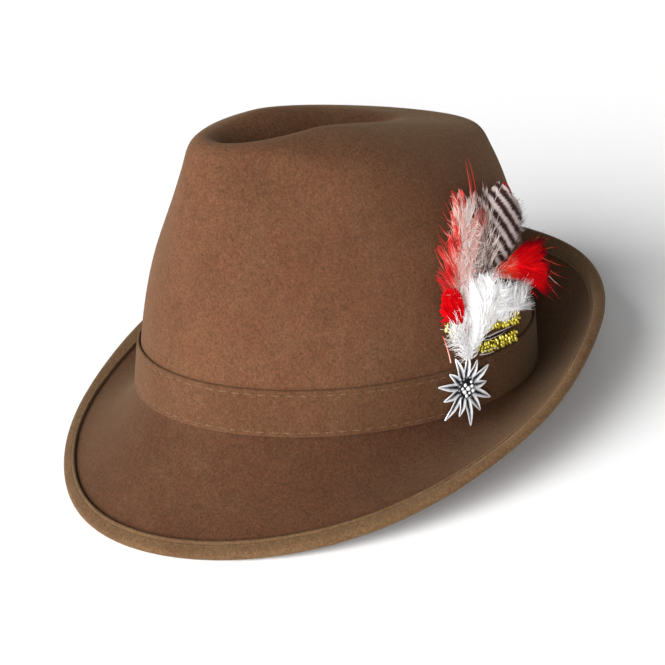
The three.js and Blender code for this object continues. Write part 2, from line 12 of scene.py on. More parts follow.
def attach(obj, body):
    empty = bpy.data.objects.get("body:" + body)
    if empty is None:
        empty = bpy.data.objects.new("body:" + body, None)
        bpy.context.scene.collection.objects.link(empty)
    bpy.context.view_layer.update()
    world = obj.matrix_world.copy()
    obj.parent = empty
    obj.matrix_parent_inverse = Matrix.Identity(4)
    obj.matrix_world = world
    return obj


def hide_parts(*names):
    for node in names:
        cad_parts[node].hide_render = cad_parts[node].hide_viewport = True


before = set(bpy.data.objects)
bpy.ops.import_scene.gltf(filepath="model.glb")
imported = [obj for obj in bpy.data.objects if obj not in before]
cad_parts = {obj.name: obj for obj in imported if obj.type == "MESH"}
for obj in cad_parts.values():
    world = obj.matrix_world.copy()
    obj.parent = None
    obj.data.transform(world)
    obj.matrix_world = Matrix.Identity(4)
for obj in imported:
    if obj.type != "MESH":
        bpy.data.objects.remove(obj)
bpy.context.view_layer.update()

# The hat's own frame: millimetres from the middle of the head line, tipped back to rest
MM = 0.001
REST_TIP = -0.19688606
REST_Y = 3.42045
REST_Z = 22.46718
HEAD_TURN = Matrix.Rotation(REST_TIP, 3, "X")
REST = (
    Matrix.Translation((0, REST_Y * MM, REST_Z * MM))
    @ HEAD_TURN.to_4x4()
    @ Matrix.Scale(MM, 4)
)

# Camera, about the hat's own frame
AZIMUTH = 49
LIFT = 20.7
ROLL = 0.6
DISTANCE = 1.3
LENS = 146.4
SENSOR_WIDTH = 36
AIM_RIGHT = -2.96
AIM_UP = 15.0

# The floor's radius, the hat's middle for the top light, both in metres, and the ambient light
FLOOR_RADIUS = 6
HAT_MIDDLE = Vector((0, 0, 0.07))
AMBIENT = 0.13

# Sizes in the hat's own frame, in millimetres
HALF_WIDTH = 85.5
HALF_LENGTH = 102.5
CROWN_HEIGHT = 129
BAND_HEIGHT = 22
BAND_OFF = 2.1
BRIM_REACH = 40
FRONT_DROP = 47.5
BACK_RISE = 34.5
HEM_WIDTH = 7.5
HEM_LIP = 4.4
LIP_RADIUS = 0.85
LIP_PAST = 0.2
LIP_OVER = 0.1

# Stitches of the band and the hem: their place, pitch, and length, width and height
STITCH_UPS = (2.4, BAND_HEIGHT - 2.4)
STITCH_PITCH = 6.2
STITCH_SIZE = (4.2, 0.55, 0.4)
STITCH_LIFT = 0.05
HEM_STITCH_IN = 1.7
HEM_STITCH_PITCH = 5.4
HEM_STITCH_SIZE = (3.6, 0.5, 0.3)

# The channel along each row of stitches, and where rays to the band and the hem start
CHANNEL_HALF = 0.9
CHANNEL_DEEP = 0.35
BAND_RAY = 1.4
HEM_RAY = 4

# Pin and plume
PIN_ANGLE = 90
PIN_UP = 12.5
PIN_RADIUS = 19
PIN_PLATE = 5.6
PLUME_LENGTH = 80
PLUME_STAND = 20
PLUME_RISE = 13
PLUME_CLOSE = 0.13
PLUME_TURN = 0.7
STAND_POWER = 1.5
LONGEST_BARB = 40.0

# Bars of the barred feather: pitch, way in degrees and start, and where its red tip begins
BAR_PITCH = 5.4
BAR_WAY = 27
BAR_START = 0.6
RED_TIP_ACROSS = 76.6
RED_TIP_UP = 71.5

# Red tufts of the pink plume: two waves along it, their depth, and where it turns paler
TUFT_WAVES = (27, 61)
TUFT_SHIFT = 0.6
TUFT_DEPTH = 0.20
PALE_START = 0.62
PALE_RUN = 0.2
PALE_DEPTH = 0.45
CORE_INSET = 0.3

# Petals around the pin, as shares of its radius, with their width and lift along each
PETALS = [0.86, 0.70, 0.92, 0.76, 0.98, 0.72, 1.00, 0.84, 0.94, 0.70, 0.88, 0.74, 0.90]
PETAL_START = 20
PETAL_FOOT = 3.0
PETAL_WIDTH = 3.8
PETAL_THICK = 0.45
PETAL_HOLLOW = 0.9
PETAL_DROOP = 0.25
PETAL_WIDE = ([0.0, 0.3, 0.55, 0.8, 1.0], [0.55, 1.0, 0.85, 0.5, 0.03])
PETAL_LIFT = ([0.0, 0.3, 0.6, 1.0], [1.0, 1.6, 2.2, 1.7])

# The pin's heart: a plate, knobs in two rings around one, and a ring of beads. A shade is the
# height that the patina reaches and its depth above that.
PLATE_DEPTH = 2.4
KNOBS = 9
KNOB_SIZES = (1.15, 0.85, 1.05)
KNOB_RINGS = (2.5, 3.4)
KNOB_UP = 2.7
KNOB_SHADE = (2.7, 0.22)
BEADS = 16
BEAD_SIZE = 0.6
BEAD_RING = 5.0
BEAD_UP = 2.3
BEAD_SHADE = (2.4, 0.45)

# Foil grains of the tinsel: half sizes, pitch and rows, lean in degrees, and off the felt
GRAIN_HALVES = (1.5, 0.75, 0.7)
GRAIN_PITCH = 1.9
GRAIN_ROW = 1.8
GRAIN_LEAN = 24
GRAIN_OFF = 2.2
GRAIN_JITTER = 0.2
SIDE_AHEAD = 0.5
MIDDLE_LIFT = 0.3

# The crown's wall up to the shoulder, in shares: reach in front, at the side and behind, the
# middle, and height in front, at the side and behind
CROWN_ROWS = [
    (1.000, 1.000, 1.000, 0.000, 0.000, 0.000, 0.000),
    (0.975, 0.972, 0.978, 0.000, 0.240, 0.232, 0.209),
    (0.938, 0.930, 0.938, 0.000, 0.480, 0.450, 0.403),
    (0.893, 0.845, 0.895, -0.010, 0.682, 0.636, 0.589),
    (0.868, 0.735, 0.868, -0.030, 0.815, 0.760, 0.698),
    (0.845, 0.635, 0.850, -0.060, 0.888, 0.842, 0.760),
    (0.818, 0.525, 0.830, -0.110, 0.938, 0.908, 0.815),
    (0.780, 0.405, 0.760, -0.170, 0.966, 0.954, 0.842),
]
END_POWER = 1.25

# The brim at degrees from the front: shares of its reach and of its drop or rise, and slope
BRIM_ROWS = [
    dict(at=0, reach=0.85, rise=-1.00, slope=-46),
    dict(at=30, reach=0.83, rise=-0.90, slope=-40),
    dict(at=60, reach=0.93, rise=-0.56, slope=-14),
    dict(at=90, reach=1.00, rise=0.04, slope=36),
    dict(at=120, reach=0.83, rise=0.74, slope=62),
    dict(at=150, reach=0.72, rise=0.99, slope=74),
    dict(at=180, reach=0.75, rise=1.00, slope=76),
]

# Feathers from root to tip, in shares of the plume's length: places back and up from the pin
# and off the felt, then width and thickness
BARRED = [
    (0.03, 0.19, 0.012, 0.02, 0.012),
    (0.07, 0.36, 0.018, 0.03, 0.016),
    (0.155, 0.565, 0.022, 0.14, 0.020),
    (0.26, 0.735, 0.024, 0.27, 0.024),
    (0.386, 0.87, 0.024, 0.32, 0.024),
    (0.50, 0.945, 0.024, 0.24, 0.020),
    (0.605, 0.985, 0.024, 0.04, 0.012),
]
RED = [
    (0.01, 0.20, 0.030, 0.02, 0.012),
    (0.10, 0.41, 0.046, 0.03, 0.018),
    (0.25, 0.575, 0.054, 0.06, 0.022),
    (0.40, 0.595, 0.056, 0.12, 0.026),
    (0.54, 0.555, 0.056, 0.32, 0.026),
    (0.64, 0.495, 0.056, 0.36, 0.024),
    (0.69, 0.445, 0.056, 0.10, 0.014),
]
PINK = [
    (0.01, 0.235, 0.047, 0.04, 0.014),
    (0.00, 0.40, 0.068, 0.16, 0.035),
    (-0.02, 0.58, 0.076, 0.22, 0.045),
    (0.05, 0.76, 0.076, 0.27, 0.045),
    (0.14, 0.90, 0.072, 0.20, 0.035),
    (0.20, 1.00, 0.070, 0.06, 0.014),
]
WHITE = [
    (0.04, 0.20, 0.060, 0.05, 0.020),
    (0.05, 0.30, 0.100, 0.12, 0.040),
    (0.08, 0.40, 0.130, 0.28, 0.050),
    (0.13, 0.475, 0.145, 0.55, 0.050),
    (0.16, 0.53, 0.150, 0.60, 0.045),
    (0.18, 0.565, 0.150, 0.30, 0.016),
]
TAB = [
    (-0.05, 0.40, 0.110, 0.04, 0.012),
    (-0.09, 0.46, 0.110, 0.13, 0.016),
    (-0.12, 0.53, 0.110, 0.14, 0.016),
    (-0.13, 0.59, 0.110, 0.05, 0.012),
]

# Loose down, in the same way: at the foot of the barred feather, and between plume and pin
GREY_DOWN = [
    (0.14, 0.56, 0.050, 0.08, 0.030),
    (0.20, 0.66, 0.056, 0.20, 0.030),
    (0.25, 0.76, 0.056, 0.20, 0.030),
    (0.29, 0.87, 0.050, 0.12, 0.020),
]
LOW_DOWN = [
    (0.04, 0.15, 0.030, 0.05, 0.030),
    (0.02, 0.22, 0.045, 0.09, 0.035),
    (-0.01, 0.30, 0.065, 0.14, 0.040),
    (-0.05, 0.36, 0.080, 0.19, 0.040),
    (-0.06, 0.42, 0.090, 0.14, 0.030),
]

# Single strands, each from one place back and up to another, in the same shares
RED_SPIKES = [
    (0.25, 0.93, 0.34, 1.13), (0.25, 0.95, 0.32, 1.08), (0.27, 0.92, 0.36, 1.14),
    (0.16, 0.92, 0.16, 1.04), (0.12, 0.90, 0.10, 1.02), (0.18, 0.90, 0.20, 1.05),
    (0.06, 0.84, 0.01, 0.98), (0.08, 0.86, 0.05, 1.01), (0.02, 0.80, -0.06, 0.92),
    (0.00, 0.76, -0.09, 0.88), (-0.04, 0.66, -0.13, 0.76), (-0.05, 0.60, -0.15, 0.70),
    (-0.06, 0.54, -0.16, 0.62), (-0.03, 0.72, -0.12, 0.82), (0.22, 0.88, 0.27, 1.02),
]
RED_RAYS = [
    (0.66, 0.64, 0.84, 0.63), (0.67, 0.60, 0.88, 0.54), (0.68, 0.57, 0.92, 0.44),
    (0.69, 0.52, 0.90, 0.38), (0.70, 0.48, 0.86, 0.33), (0.68, 0.44, 0.80, 0.28),
    (0.64, 0.40, 0.74, 0.30), (0.62, 0.66, 0.76, 0.69),
]
WHITE_WISPS = [
    (0.14, 0.245, 0.30, 0.262), (0.16, 0.24, 0.34, 0.255), (0.20, 0.25, 0.40, 0.262),
    (0.12, 0.165, 0.24, 0.155), (0.14, 0.17, 0.28, 0.16), (0.30, 0.40, 0.46, 0.34),
    (0.34, 0.42, 0.50, 0.37), (0.26, 0.38, 0.42, 0.31), (0.50, 0.43, 0.56, 0.41),
    (0.40, 0.47, 0.55, 0.45), (0.42, 0.50, 0.56, 0.50), (0.36, 0.38, 0.49, 0.33),
]
TAB_TAIL = [
    (-0.10, 0.47, -0.19, 0.42), (-0.10, 0.49, -0.19, 0.44), (-0.09, 0.45, -0.18, 0.41),
    (-0.11, 0.51, -0.19, 0.46), (-0.12, 0.50, -0.20, 0.41), (-0.11, 0.48, -0.185, 0.43),
]
PINK_QUILL = [(-0.085, 0.164, -0.134, 0.331)]

# Tinsel, as places back and up in the same shares
TINSEL_LOOP = [
    (0.48, 0.290), (0.34, 0.295), (0.20, 0.300), (0.125, 0.245),
    (0.18, 0.190), (0.31, 0.186), (0.44, 0.190),
]
TINSEL_END = [(-0.10, 0.395), (-0.060, 0.355), (-0.025, 0.305)]


# Lines, and the crown's wall as a sheet to work on

def turned(x, y, z):
    """The turn to three axes."""
    return Matrix((x, y, z)).transposed().to_4x4()


def run_along(line):
    """The way run along a line at each of its points."""
    return np.concatenate([[0], np.cumsum(np.linalg.norm(np.diff(line, axis=0), axis=1))])


def brim_column(name, at):
    """One column of the brim's table at an angle between its rows, with level ends."""
    rows, last = BRIM_ROWS, len(BRIM_ROWS) - 1
    index = max(i for i in range(last) if rows[i]["at"] <= at or i == 0)
    a, b = rows[index], rows[index + 1]
    before = rows[index - 1] if index else {**b, "at": 2 * a["at"] - b["at"]}
    after = rows[index + 2] if index + 2 <= last else {**a, "at": 2 * b["at"] - a["at"]}
    share = (at - a["at"]) / (b["at"] - a["at"])
    slope_a = (b[name] - before[name]) / (b["at"] - before["at"]) * (b["at"] - a["at"])
    slope_b = (after[name] - a[name]) / (after["at"] - a["at"]) * (b["at"] - a["at"])
    return (
        (2 * share ** 3 - 3 * share ** 2 + 1) * a[name]
        + (share ** 3 - 2 * share ** 2 + share) * slope_a
        + (3 * share ** 2 - 2 * share ** 3) * b[name]
        + (share ** 3 - share ** 2) * slope_b
    )


def smooth_line(points, steps):
    """A smooth line through points, as an array with steps places between each two."""
    points = np.asarray(points, float)
    line = []
    for i in range(len(points) - 1):
        p1, p2 = points[i], points[i + 1]
        p0 = points[i - 1] if i else 2 * p1 - p2
        p3 = points[i + 2] if i + 2 < len(points) else 2 * p2 - p1
        d0, d1, d2 = (
            max(np.linalg.norm(b - a), 1e-6) ** 0.5
            for a, b in ((p0, p1), (p1, p2), (p2, p3))
        )
        t1 = ((p1 - p0) / d0 - (p2 - p0) / (d0 + d1) + (p2 - p1) / d1) * d1
        t2 = ((p2 - p1) / d1 - (p3 - p1) / (d1 + d2) + (p3 - p2) / d2) * d1
        for j in range(steps):
            s = j / steps
            line.append(
                p1 + t1 * s
                + (3 * (p2 - p1) - 2 * t1 - t2) * s ** 2
                + (2 * (p1 - p2) + t1 + t2) * s ** 3
            )
    line.append(points[-1])
    return np.array(line)


def wall_line(angle):
    """The crown's outer line at one angle, as points by height."""
    turn = math.radians(angle)
    facing = math.cos(turn)
    share = abs(facing) ** END_POWER
    points = []
    for front, side, back, middle, front_up, side_up, back_up in CROWN_ROWS:
        reach, end_up = (front + middle, front_up) if facing > 0 else (back - middle, back_up)
        points.append((
            HALF_WIDTH * side * math.sin(turn),
            HALF_LENGTH * (middle - reach * facing),
            CROWN_HEIGHT * (side_up + (end_up - side_up) * share),
        ))
    return smooth_line(points, 12)


SHEET_ANGLES = np.arange(60, 151, 1.0)
SHEET_HEIGHTS = np.arange(0, 107, 1.0)
lines = [wall_line(angle) for angle in SHEET_ANGLES]
WALL = np.array([
    [[np.interp(h, line[:, 2], line[:, k]) for k in range(3)] for h in SHEET_HEIGHTS]
    for line in lines
])
OUTWARD = np.cross(np.gradient(WALL, axis=0), np.gradient(WALL, axis=1))
OUTWARD /= np.linalg.norm(OUTWARD, axis=2, keepdims=True)


def on_wall(angle, height):
    """Points of the crown's wall and the ways out from it, for arrays of angles and heights."""
    i = np.clip(angle - SHEET_ANGLES[0], 0, len(SHEET_ANGLES) - 1.001)
    j = np.clip(height - SHEET_HEIGHTS[0], 0, len(SHEET_HEIGHTS) - 1.001)
    i0, j0 = i.astype(int), j.astype(int)
    u, v = (i - i0)[..., None], (j - j0)[..., None]

    def mixed(grid):
        return (
            grid[i0, j0] * (1 - u) * (1 - v) + grid[i0 + 1, j0] * u * (1 - v)
            + grid[i0, j0 + 1] * (1 - u) * v + grid[i0 + 1, j0 + 1] * u * v
        )
    return mixed(WALL), mixed(OUTWARD)


def on_plume(back, up, off):
    """Places on the plume's sheet, in metres, from millimetres back and up from the pin and off."""
    back, up, off = (np.asarray(x, float) for x in (back, up, off))
    per_degree = math.radians(1) * HALF_LENGTH
    behind = np.maximum(0, back / PLUME_LENGTH - PLUME_CLOSE) / (1 - PLUME_CLOSE)
    above = np.maximum(0, up / PLUME_LENGTH - PLUME_TURN) / PLUME_TURN
    stand = PLUME_STAND * behind ** STAND_POWER + PLUME_RISE * above ** 2
    point, out = on_wall(PIN_ANGLE + back / per_degree, PIN_UP + up)
    point = point + out * (off + stand)[..., None]
    turn = np.array(REST.to_3x3())
    return point @ turn.T + np.array(REST.translation)


# Materials

class Finish:
    """A material with its shader, and short ways to add nodes to it."""

    def __init__(self, name, **sockets):
        self.material = bpy.data.materials.new(name)
        self.material.use_nodes = True
        self.tree = self.material.node_tree
        self.shader = self.tree.nodes["Principled BSDF"]
        for socket, value in sockets.items():
            self.shader.inputs[socket.replace("_", " ")].default_value = value
        self.place = self.tree.nodes.new("ShaderNodeTexCoord").outputs["Object"]

    def node(self, kind, **values):
        made = self.tree.nodes.new(kind)
        for name, value in values.items():
            setattr(made, name, value)
        return made

    def link(self, start, end):
        self.tree.links.new(start, end)

    def to(self, start, socket):
        self.tree.links.new(start, self.shader.inputs[socket])

    def noise(self, scale, detail=3, rough=0.55, stretch=None):
        made = self.node("ShaderNodeTexNoise")
        made.inputs["Scale"].default_value = scale
        made.inputs["Detail"].default_value = detail
        made.inputs["Roughness"].default_value = rough
        if stretch:
            mapping = self.node("ShaderNodeMapping")
            mapping.inputs["Scale"].default_value = stretch
            self.link(self.place, mapping.inputs["Vector"])
            self.link(mapping.outputs["Vector"], made.inputs["Vector"])
        else:
            self.link(self.place, made.inputs["Vector"])
        return made.outputs["Fac"]

    def ramp(self, start, stops):
        made = self.node("ShaderNodeValToRGB")
        elements = made.color_ramp.elements
        while len(elements) < len(stops):
            elements.new(0.5)
        for element, (at, colour) in zip(elements, stops):
            element.position = at
            element.color = (*colour, 1)
        self.link(start, made.inputs["Fac"])
        return made.outputs["Color"]

    def mix(self, share, a, b, blend="MIX"):
        made = self.node("ShaderNodeMix", data_type="RGBA", blend_type=blend)
        for value, socket in ((share, 0), (a, 6), (b, 7)):
            if isinstance(value, bpy.types.NodeSocket):
                self.link(value, made.inputs[socket])
            elif socket:
                made.inputs[socket].default_value = (*value, 1)
            else:
                made.inputs[socket].default_value = value
        return made.outputs[2]

    def math(self, operation, a, b=0.0):
        made = self.node("ShaderNodeMath", operation=operation)
        for i, value in enumerate((a, b)):
            if isinstance(value, bpy.types.NodeSocket):
                self.link(value, made.inputs[i])
            else:
                made.inputs[i].default_value = value
        return made.outputs[0]

    def attribute(self, name):
        return self.node("ShaderNodeAttribute", attribute_name=name)

    def bump(self, height, strength, distance, under=None):
        made = self.node("ShaderNodeBump")
        made.inputs["Strength"].default_value = strength
        made.inputs["Distance"].default_value = distance
        self.link(height, made.inputs["Height"])
        if under is not None:
            self.link(under, made.inputs["Normal"])
        self.to(made.outputs["Normal"], "Normal")
        return made.outputs["Normal"]


def grey(level):
    """A grey colour."""
    return (level, level, level)


def two_tone(name, grain, dark, light, relief=None, **sockets):
    """A material that goes from one colour to another by a noise, which may also raise it."""
    made = Finish(name, **sockets)
    noise = made.noise(*grain)
    made.to(made.ramp(noise, [(0.3, dark), (0.7, light)]), "Base Color")
    if relief:
        made.bump(noise, *relief)
    return made.material


def felt_finish(name, dark, light, warm, sheen=(0.70, 0.52, 0.32)):
    """Short-napped felt: brushed patches, a fine nap and a pale bloom at its edges."""
    made = Finish(
        name, Roughness=0.95, Sheen_Weight=0.18, Sheen_Roughness=0.5,
        Sheen_Tint=(*sheen, 1), Specular_IOR_Level=0.1,
    )
    patches = made.ramp(made.noise(26, 4, 0.6), [(0.30, dark), (0.70, light)])
    brushed = made.ramp(made.noise(75, 4, 0.62, (1, 1, 0.5)), [(0.36, grey(0)), (0.72, grey(0.7))])
    patched = made.mix(brushed, patches, warm)
    cloud = made.ramp(made.noise(300, 3, 0.6), [(0.3, grey(0.90)), (0.7, grey(1.10))])
    nap = made.ramp(made.noise(900, 3, 0.75), [(0.3, grey(0.61)), (0.7, grey(1.40))])
    clouded = made.mix(1.0, patched, cloud, "MULTIPLY")
    made.to(made.mix(1.0, clouded, nap, "MULTIPLY"), "Base Color")
    fine = made.bump(made.noise(1400, 3, 0.7), 0.45, 0.0004)
    made.bump(made.noise(240, 4, 0.65), 0.35, 0.0007, fine)
    return made.material


def strand_finish(name, lay_colour, roughness, sheen):
    """Feather strands, coloured along each by the attribute lay."""
    made = Finish(name, Roughness=roughness, Sheen_Weight=sheen, Specular_IOR_Level=0.05)
    lay = made.attribute("lay")
    split = made.node("ShaderNodeSeparateXYZ")
    made.link(lay.outputs["Vector"], split.inputs[0])
    made.to(lay_colour(made, *split.outputs), "Base Color")
    made.bump(made.noise(2500, 2, 0.6), 0.2, 0.0002)
    return made.material


# Felt pieces

def placed(name, data):
    """A new object in the scene."""
    made = bpy.data.objects.new(name, data)
    bpy.context.scene.collection.objects.link(made)
    return made


def cad_copy(node):
    """A merged copy of a CAD node's mesh, with its triangles paired into quads."""
    bm = bmesh.new()
    bm.from_mesh(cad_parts[node].data)
    bmesh.ops.remove_doubles(bm, verts=bm.verts, dist=0.02 * MM)
    bmesh.ops.join_triangles(
        bm, faces=bm.faces, angle_face_threshold=math.radians(50),
        angle_shape_threshold=math.radians(60),
    )
    return bm


def finished(name, bm, material, slot, *nodes, levels=0):
    """A bmesh as a smooth piece of the hat, which may stand for CAD nodes."""
    mesh = bpy.data.meshes.new(name)
    bm.to_mesh(mesh)
    bm.free()
    return dressed(name, mesh, material, slot, *nodes, levels=levels)


def dressed(name, mesh, material, slot, *nodes, levels=0):
    """A mesh as a smooth piece of the hat, which may stand for CAD nodes."""
    mesh.name = name
    mesh.materials.clear()
    mesh.materials.append(material)
    mesh.polygons.foreach_set("use_smooth", [True] * len(mesh.polygons))
    piece = placed(name, mesh)
    if levels:
        rounding = piece.modifiers.new("rounding", "SUBSURF")
        rounding.levels = rounding.render_levels = levels
    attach(piece, "root")
    if nodes:
        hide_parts(*nodes)
    return piece


def hat_spot(vertex):
    """A place in metres, in the hat's own frame in millimetres."""
    return REST.inverted() @ vertex


felt = felt_finish(
    "brown felt", (0.084, 0.035, 0.0165), (0.113, 0.053, 0.026), (0.108, 0.040, 0.020),
)
# Painted shade: the brim is the same felt as the crown, painted darker to stand for the shade that
# falls on it
brim_felt_painted_shade = felt_finish(
    "brim felt with painted shade", (0.051, 0.0200, 0.0095), (0.072, 0.0325, 0.0155), (0.068, 0.024, 0.0115),
)
band_felt = felt_finish(
    "band felt", (0.074, 0.032, 0.0145), (0.099, 0.047, 0.0225), (0.090, 0.035, 0.017),
)
hem_felt = felt_finish(
    "hem felt", (0.087, 0.045, 0.021), (0.121, 0.069, 0.033), (0.099, 0.049, 0.023),
    (0.74, 0.58, 0.36),
)

finished("crown_felt", cad_copy("crown"), felt, "felt", "crown", levels=2)
# The brim wears the darker felt, whose extra darkness is painted shade
finished("brim_felt_painted_shade", cad_copy("brim"), brim_felt_painted_shade, "felt", "brim", levels=2)

# The band has a shallow channel along each row of stitches
bm = cad_copy("band")
way_up = HEAD_TURN @ Vector((0, 0, 1))
for middle in STITCH_UPS:
    for up in (middle - CHANNEL_HALF, middle, middle + CHANNEL_HALF):
        bmesh.ops.bisect_plane(
            bm, geom=bm.verts[:] + bm.edges[:] + bm.faces[:], dist=1e-6,
            plane_co=REST @ Vector((0, 0, up)), plane_no=way_up,
        )
bm.normal_update()
for vertex in bm.verts:
    spot = hat_spot(vertex.co)
    outward = (HEAD_TURN @ Vector((spot.x / HALF_WIDTH, spot.y / HALF_LENGTH, 0))).normalized()
    if vertex.normal.dot(outward) > 0.3 and min(abs(spot.z - up) for up in STITCH_UPS) < 0.05:
        vertex.co -= outward * CHANNEL_DEEP * MM
band = finished("band_felt", bm, band_felt, "felt", "band", levels=2)

hem = finished("hem_felt", cad_copy("brim_hem"), hem_felt, "hem_felt", "brim_hem", levels=2)


def skin_of(piece):
    """The finished surface of a piece, to lay things on."""
    return BVHTree.FromObject(piece, bpy.context.evaluated_depsgraph_get())


# Lines sewn along the hat

def even_places(points, pitch):
    """Places along a closed line at an even pitch in metres, with the way along it at each."""
    points = np.asarray(points)
    loop = np.vstack([points, points[:1]])
    run = run_along(loop)
    count = int(run[-1] / pitch)
    at = np.arange(count) / count * run[-1]
    places = np.stack([np.interp(at, run, loop[:, k]) for k in range(3)], 1)
    ways = np.roll(places, -1, 0) - np.roll(places, 1, 0)
    return places, ways / np.linalg.norm(ways, axis=1, keepdims=True)


def bead(bm, place, axes, halves, rings):
    """A round bead, drawn out along three axes by half sizes in millimetres."""
    size = Matrix.Diagonal((*(half * MM for half in halves), 1))
    lying = Matrix.Rotation(math.pi / 2, 4, "Y")
    bmesh.ops.create_uvsphere(
        bm, u_segments=8, v_segments=rings, radius=1,
        matrix=Matrix.Translation(place) @ turned(*axes) @ size @ lying,
    )


def sew(bm, places, ways, outs, size):
    """Short thread stitches, each an elongated bead laid on the felt."""
    for place, way, out in zip(places, ways, outs):
        way, out = Vector(way), Vector(out).normalized()
        axes = way, out.cross(way).normalized(), out
        bead(bm, place, axes, [length / 2 for length in size], 5)


def head_line(angle):
    """A place on the oval of the head line and the way out from it, in the hat's own frame."""
    turn = math.radians(angle)
    foot = Vector((HALF_WIDTH * math.sin(turn), -HALF_LENGTH * math.cos(turn), 0))
    out = Vector((math.sin(turn) / HALF_WIDTH, -math.cos(turn) / HALF_LENGTH, 0))
    return foot, out.normalized()


def thread(name, dark, light):
    """Twisted sewing thread."""
    return two_tone(
        name, (900, 2, 0.5), dark, light, (0.4, 0.0003), Roughness=0.8, Specular_IOR_Level=0.1,
    )


tan_thread = thread("tan thread", (0.105, 0.056, 0.028), (0.185, 0.110, 0.060))
brown_thread = thread("brown thread", (0.095, 0.052, 0.026), (0.165, 0.098, 0.052))

band_skin = skin_of(band)
bm = bmesh.new()
for up in STITCH_UPS:
    around = []
    for angle in range(0, 360, 2):
        foot, out = head_line(angle)
        start = REST @ (foot * BAND_RAY + Vector((0, 0, up)))
        around.append(band_skin.ray_cast(start, -(HEAD_TURN @ out))[0])
    places, ways = even_places(around, STITCH_PITCH * MM)
    outs = np.array([(HEAD_TURN @ hat_spot(Vector(p)).xy.to_3d()).normalized() for p in places])
    sew(bm, places + outs * STITCH_LIFT * MM, ways, outs, STITCH_SIZE)
finished("band_stitches", bm, tan_thread, "felt")


def hem_places(along, above):
    """A closed line around the brim's edge, at a place in the hem's own section."""
    points = []
    for angle in np.arange(0, 360, 1.5):
        at = 360 - angle if angle > 180 else angle
        rise = brim_column("rise", at)
        slope = math.radians(brim_column("slope", at))
        edge_out = BRIM_REACH * brim_column("reach", at)
        edge_up = rise * (FRONT_DROP if rise < 0 else BACK_RISE)
        way = (math.cos(slope), math.sin(slope))
        foot, out = head_line(angle)
        spot = foot + out * (edge_out + way[0] * along - way[1] * above)
        spot.z = edge_up + way[1] * along + way[0] * above
        points.append(REST @ spot)
    return points


def tube_curve(name, radius, roundness):
    """An empty curve whose lines become tubes."""
    curve = bpy.data.curves.new(name, "CURVE")
    curve.dimensions = "3D"
    curve.bevel_depth = radius
    curve.bevel_resolution = roundness
    return curve


def tube_mesh(curve):
    """The mesh of a curve's tubes."""
    pattern = placed(curve.name + "_pattern", curve)
    bpy.context.view_layer.update()
    mesh = bpy.data.meshes.new_from_object(
        pattern.evaluated_get(bpy.context.evaluated_depsgraph_get())
    )
    bpy.data.objects.remove(pattern)
    return mesh


# The turned edge of the hem stands up as a thin rolled lip around the brim's upper face
lip_line = hem_places(-HEM_WIDTH / 2 - LIP_PAST, HEM_LIP / 2 + LIP_OVER)
curve = tube_curve("hem_lip", LIP_RADIUS * MM, 2)
spline = curve.splines.new("POLY")
spline.points.add(len(lip_line) - 1)
spline.points.foreach_set("co", np.array([(*p, 1) for p in lip_line], np.float32).ravel())
spline.use_cyclic_u = True
dressed("hem_lip", tube_mesh(curve), hem_felt, "hem_felt")

hem_skin = skin_of(hem)
line = hem_places(HEM_STITCH_IN - HEM_WIDTH / 2, HEM_LIP / 2 + HEM_RAY)
inward = hem_places(HEM_STITCH_IN - HEM_WIDTH / 2, 0)
on_hem, hem_outs = [], []
for start, end in zip(line, inward):
    way = (end - start).normalized()
    on_hem.append(hem_skin.ray_cast(start, way)[0] or end)
    hem_outs.append(-way)
places, ways = even_places(on_hem, HEM_STITCH_PITCH * MM)
near = [int(np.argmin(np.linalg.norm(np.array(on_hem) - p, axis=1))) for p in places]
bm = bmesh.new()
sew(bm, places, ways, np.array(hem_outs)[near], HEM_STITCH_SIZE)
finished("hem_stitches", bm, brown_thread, "hem_felt")


# Feathers

def quill_at(rows, s):
    """Places, sizes and heading of a feather at shares of its length, and the length."""
    line = smooth_line(np.array(rows) * PLUME_LENGTH, 16)
    run = run_along(line[:, :2])
    at = np.linspace(0, run[-1], 160)
    line = np.stack([np.interp(at, run, line[:, k]) for k in range(5)], 1)
    shares = np.linspace(0, 1, len(line))
    tangent = np.gradient(line[:, :2], axis=0)
    heading = np.unwrap(np.arctan2(tangent[:, 1], tangent[:, 0]))
    spots = np.stack([np.interp(s, shares, line[:, k]) for k in range(5)], -1)
    return spots, np.interp(s, shares, heading), run[-1]


def grown(start, heading, turn, long, points):
    """Curved strands of given lengths from their starts, bending by turn from root to tip."""
    t = np.linspace(0, 1, points)
    go = heading[:, None] + turn[:, None] * t
    step = long[:, None] / (points - 1)
    path = np.zeros((len(long), points, 3))
    path[:, 1:, 0] = np.cumsum(np.cos(go) * step, axis=1)[:, :-1]
    path[:, 1:, 1] = np.cumsum(np.sin(go) * step, axis=1)[:, :-1]
    path += start[:, None, :]
    return path, t


def strand_lay(along, tone, t, number, shape):
    """What colours each point: the share along the quill, a tone and the strand's number."""
    toned = tone[0] + (tone[1] - tone[0]) * t
    return np.stack([np.broadcast_to(x, shape) for x in (along, toned, number[:, None])], 2)


